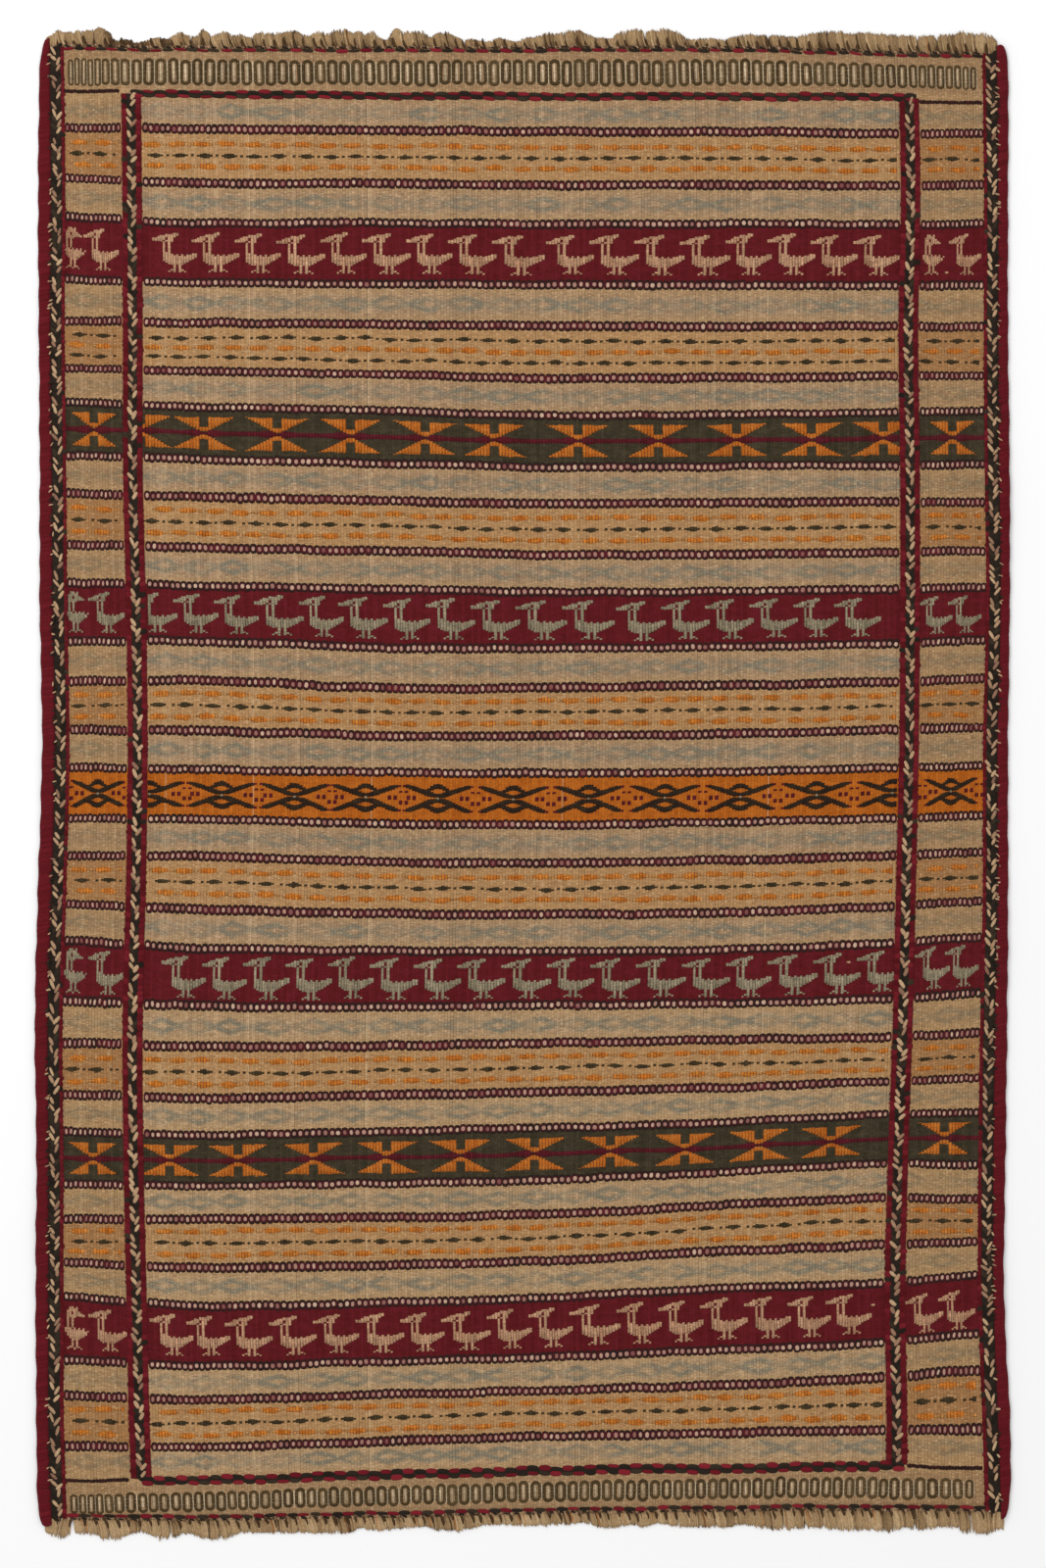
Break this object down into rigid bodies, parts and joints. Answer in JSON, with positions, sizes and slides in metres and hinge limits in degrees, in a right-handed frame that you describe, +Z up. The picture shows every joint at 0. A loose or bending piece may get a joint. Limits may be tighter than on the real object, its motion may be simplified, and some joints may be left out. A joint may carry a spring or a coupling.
{
  "type": "kilim rug",
  "caption": "Flat-woven wool rug laid flat, with wrapped long edges, raised frame braids, twined cross lines and a short warp fringe at both ends.",
  "frame": {"origin": "middle of the rug's outline, on the floor under it", "axes": "+X across the rug, +Y along its warps, towards the end that is at the top of the picture, +Z up out of the woven face"},
  "size_m": [1.1954, 1.8506, 0.0067],
  "materials": {
    "ground_wool": "matte weft-faced wool in tan, with maroon, green and orange bands",
    "selvedge_wool": "matte maroon wool overcast",
    "braid_wool": "matte black, cream and maroon wool, braided",
    "line_wool": "matte black and maroon wool, twined",
    "fringe_wool": "matte undyed wool warp ends"
  },
  "bodies": {
    "root": {"kilim_cloth": "ground_wool", "selvedge_left": "selvedge_wool", "selvedge_right": "selvedge_wool", "braid_outer_left": "braid_wool", "braid_outer_right": "braid_wool", "braid_inner_left": "braid_wool", "braid_inner_right": "braid_wool", "frame_line_top": "line_wool", "frame_line_bottom": "line_wool", "end_line_top": "line_wool", "end_line_bottom": "line_wool", "fringe_top": "fringe_wool", "fringe_bottom": "fringe_wool"}
  },
  "joints": []
}
